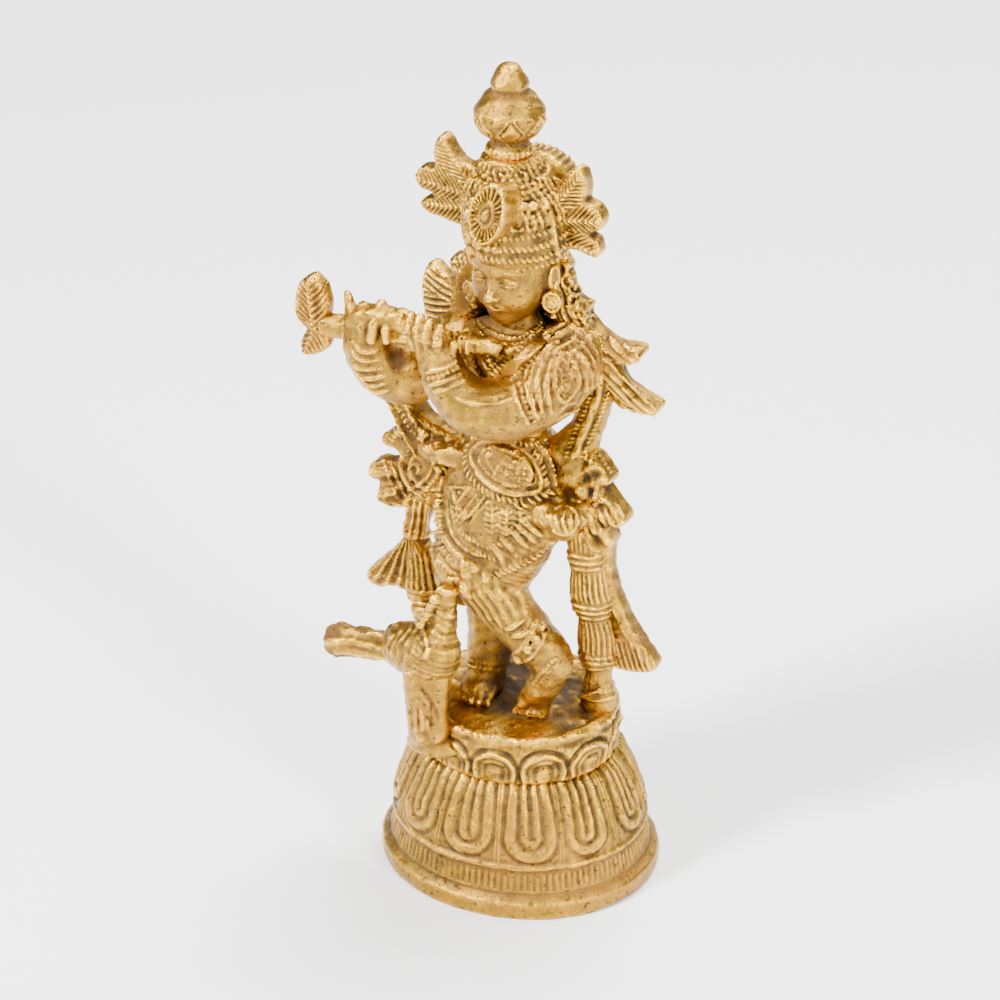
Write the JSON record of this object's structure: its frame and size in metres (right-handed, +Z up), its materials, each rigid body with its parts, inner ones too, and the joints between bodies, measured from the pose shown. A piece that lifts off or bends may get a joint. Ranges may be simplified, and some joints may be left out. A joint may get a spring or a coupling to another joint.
{
  "type": "deity statue",
  "caption": "Small cast brass statue of a standing flute player with crossed legs, a tall crown, long sashes and a perched peacock, on an oval lotus pedestal.",
  "frame": {"origin": "centre of the oval foot rim, in the plane that the statue stands on", "axes": "+Z up, the figure faces -Y, its left side is at +X"},
  "size_m": [0.0607, 0.0464, 0.152],
  "materials": {
    "brass": "rough sand-cast brass, hand-finished, worn bright on the raised parts, with brown tarnish in the recesses"
  },
  "bodies": {
    "root": {"crest_jewel": "brass", "crown": "brass", "crown_finial": "brass", "crown_halo": "brass", "dhoti": "brass", "flute": "brass", "flute_leaf": "brass", "hair_mantle": "brass", "head": "brass", "left_arm": "brass", "left_crown_plume": "brass", "left_earring": "brass", "left_forearm": "brass", "left_hip_fan": "brass", "left_leg": "brass", "left_sash_flare": "brass", "left_sash_tassel": "brass", "left_shawl": "brass", "lotus_pedestal": "brass", "lotus_plinth": "brass", "peacock": "brass", "peacock_perch": "brass", "peacock_tail": "brass", "right_arm": "brass", "right_crown_plume": "brass", "right_earring": "brass", "right_forearm": "brass", "right_leg": "brass", "right_sash_bell": "brass", "right_sash_web": "brass", "right_shawl": "brass", "torso": "brass", "waist_knot": "brass"}
  },
  "joints": []
}
